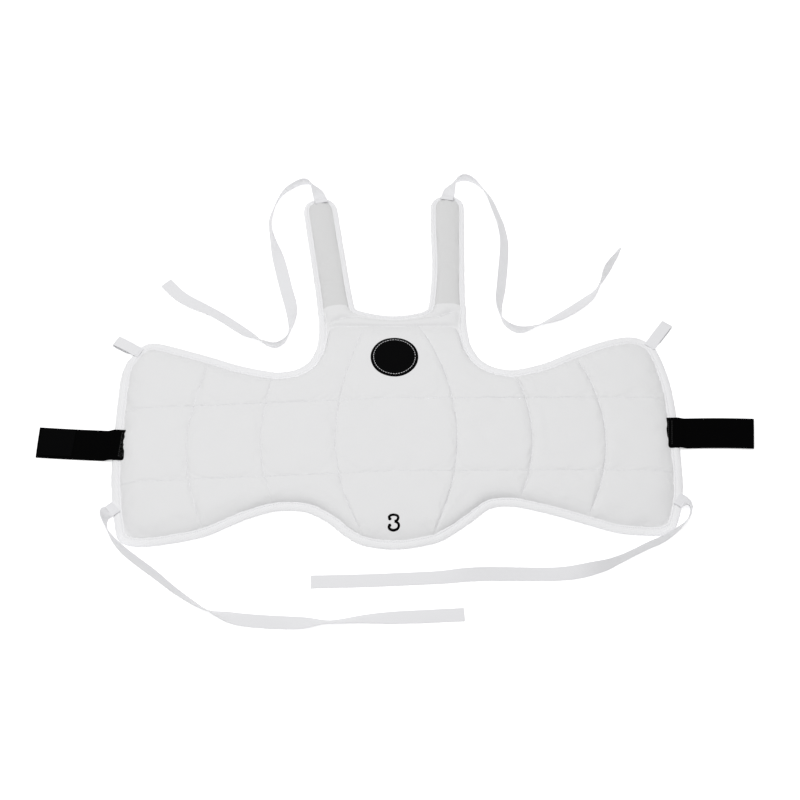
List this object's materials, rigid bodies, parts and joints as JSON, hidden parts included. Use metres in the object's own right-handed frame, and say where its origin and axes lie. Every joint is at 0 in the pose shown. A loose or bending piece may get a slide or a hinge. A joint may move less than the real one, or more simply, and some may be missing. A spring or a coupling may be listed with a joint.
{
  "type": "padded martial arts chest protector",
  "caption": "White quilted body protector with foldable side panels, padded shoulder straps, tie tapes and elastic side straps, lying flat.",
  "frame": {"origin": "on the lining's flat face, on the protector's centre line, level with the lower end of the armholes", "axes": "+X towards the protector's right end as seen from the front, +Y towards the neck, +Z out of the front; the wearer's side lies on the ground at z = 0"},
  "size_m": [0.7905, 0.5957, 0.015],
  "materials": {
    "front_cloth": "plain woven white cotton cloth, matt, quilted over foam",
    "lining_cloth": "plain white lining cloth, matt",
    "foam": "soft off-white foam, hidden",
    "binding_tape": "ribbed white herringbone binding tape with a row of stitching",
    "tie_tape": "soft white twill tape",
    "elastic_strap": "black ribbed elastic webbing",
    "hook_and_loop": "black hook-and-loop pile",
    "dark_print": "flat black print and sewn patch"
  },
  "bodies": {
    "chest": {"chest_front_cloth": "front_cloth", "chest_foam": "foam", "chest_lining": "lining_cloth", "yoke_panel": "front_cloth", "neck_binding": "binding_tape", "hem_binding": "binding_tape", "armhole_binding_left": "binding_tape", "armhole_binding_right": "binding_tape", "badge_patch": "dark_print", "size_number": "dark_print"},
    "wing_left": {"wing_front_cloth_left": "front_cloth", "wing_foam_left": "foam", "wing_lining_left": "lining_cloth", "wing_binding_left": "binding_tape"},
    "flank_left": {"flank_front_cloth_left": "front_cloth", "flank_foam_left": "foam", "flank_lining_left": "lining_cloth", "flank_binding_left": "binding_tape", "side_strap_sewn_end_left": "elastic_strap", "tie_loop_sewn_end_left": "tie_tape", "lower_tie_sewn_end_left": "tie_tape"},
    "shoulder_left": {"shoulder_cloth_left": "front_cloth", "shoulder_wadding_left": "foam", "shoulder_lining_left": "lining_cloth", "shoulder_binding_left": "binding_tape"},
    "shoulder_tip_left": {"shoulder_tip_cloth_left": "front_cloth", "shoulder_tip_wadding_left": "foam", "shoulder_tip_lining_left": "lining_cloth", "shoulder_tip_binding_left": "binding_tape", "upper_tie_sewn_end_left": "tie_tape"},
    "side_strap_left": {"side_strap_left": "elastic_strap", "loop_patch": "hook_and_loop"},
    "tie_loop_left": {"tie_loop_left": "tie_tape"},
    "upper_tie_left": {"upper_tie_left": "tie_tape"},
    "lower_tie_left": {"lower_tie_left": "tie_tape"},
    "wing_right": {"wing_front_cloth_right": "front_cloth", "wing_foam_right": "foam", "wing_lining_right": "lining_cloth", "wing_binding_right": "binding_tape"},
    "flank_right": {"flank_front_cloth_right": "front_cloth", "flank_foam_right": "foam", "flank_lining_right": "lining_cloth", "flank_binding_right": "binding_tape", "side_strap_sewn_end_right": "elastic_strap", "tie_loop_sewn_end_right": "tie_tape", "lower_tie_sewn_end_right": "tie_tape"},
    "shoulder_right": {"shoulder_cloth_right": "front_cloth", "shoulder_wadding_right": "foam", "shoulder_lining_right": "lining_cloth", "shoulder_binding_right": "binding_tape"},
    "shoulder_tip_right": {"shoulder_tip_cloth_right": "front_cloth", "shoulder_tip_wadding_right": "foam", "shoulder_tip_lining_right": "lining_cloth", "shoulder_tip_binding_right": "binding_tape", "upper_tie_sewn_end_right": "tie_tape"},
    "side_strap_right": {"side_strap_right": "elastic_strap", "hook_patch": "hook_and_loop"},
    "tie_loop_right": {"tie_loop_right": "tie_tape"},
    "upper_tie_right": {"upper_tie_right": "tie_tape"},
    "lower_tie_right": {"lower_tie_right": "tie_tape"}
  },
  "joints": [
    {"name": "wing_wrap_left", "type": "hinge", "parent": "chest", "child": "wing_left", "pos_m": [-0.1473, 0, 0], "axis": [0, -1, 0], "range_deg": [-18, 50]},
    {"name": "wing_wrap_right", "type": "hinge", "parent": "chest", "child": "wing_right", "pos_m": [0.1523, 0, 0], "axis": [0, 1, 0], "range_deg": [-18, 50]},
    {"name": "flank_wrap_left", "type": "hinge", "parent": "wing_left", "child": "flank_left", "pos_m": [-0.2283, 0, 0], "axis": [0, -1, 0], "range_deg": [-18, 45]},
    {"name": "flank_wrap_right", "type": "hinge", "parent": "wing_right", "child": "flank_right", "pos_m": [0.2328, 0, 0], "axis": [0, 1, 0], "range_deg": [-18, 45]},
    {"name": "shoulder_bend_left", "type": "hinge", "parent": "chest", "child": "shoulder_left", "pos_m": [-0.068, 0.126, 0], "axis": [-0.9888, -0.1495, 0], "range_deg": [-20, 60]},
    {"name": "shoulder_tip_bend_left", "type": "hinge", "parent": "shoulder_left", "child": "shoulder_tip_left", "pos_m": [-0.07877, 0.19719, 0], "axis": [-0.9888, -0.1495, 0], "range_deg": [-20, 60]},
    {"name": "shoulder_bend_right", "type": "hinge", "parent": "chest", "child": "shoulder_right", "pos_m": [0.061, 0.129, 0], "axis": [-0.9998, 0.0175, 0], "range_deg": [-20, 60]},
    {"name": "shoulder_tip_bend_right", "type": "hinge", "parent": "shoulder_right", "child": "shoulder_tip_right", "pos_m": [0.06226, 0.20099, 0], "axis": [-0.9998, 0.0175, 0], "range_deg": [-20, 60]},
    {"name": "side_strap_fold_left", "type": "hinge", "parent": "flank_left", "child": "side_strap_left", "pos_m": [-0.3115, -0.0585, 0.00395], "axis": [-0.0576, -0.9983, 0], "range_deg": [-60, 75]},
    {"name": "side_strap_fold_right", "type": "hinge", "parent": "flank_right", "child": "side_strap_right", "pos_m": [0.316, -0.043, 0.00395], "axis": [0, 1, 0], "range_deg": [-60, 75]},
    {"name": "tie_loop_lift_left", "type": "hinge", "parent": "flank_left", "child": "tie_loop_left", "pos_m": [-0.297, 0.0665, 0.0052], "axis": [0.5, 0.866, 0], "range_deg": [0, 80]},
    {"name": "tie_loop_lift_right", "type": "hinge", "parent": "flank_right", "child": "tie_loop_right", "pos_m": [0.296, 0.078, 0.0052], "axis": [0.809, -0.5878, 0], "range_deg": [0, 80]},
    {"name": "upper_tie_swing_left", "type": "hinge", "parent": "shoulder_tip_left", "child": "upper_tie_left", "pos_m": [-0.08402, 0.29115, 0.0038], "axis": [0, 0, -1], "range_deg": [0, 50]},
    {"name": "upper_tie_swing_right", "type": "hinge", "parent": "shoulder_tip_right", "child": "upper_tie_right", "pos_m": [0.0577, 0.29531, 0.0038], "axis": [0, 0, 1], "range_deg": [0, 50]},
    {"name": "lower_tie_lift_left", "type": "hinge", "parent": "flank_left", "child": "lower_tie_left", "pos_m": [-0.3048, -0.1413, 0.0032], "axis": [0.8036, -0.5952, 0], "range_deg": [0, 30]},
    {"name": "lower_tie_lift_right", "type": "hinge", "parent": "flank_right", "child": "lower_tie_right", "pos_m": [0.3116, -0.1304, 0.0032], "axis": [0.5433, 0.8396, 0], "range_deg": [0, 30]}
  ]
}
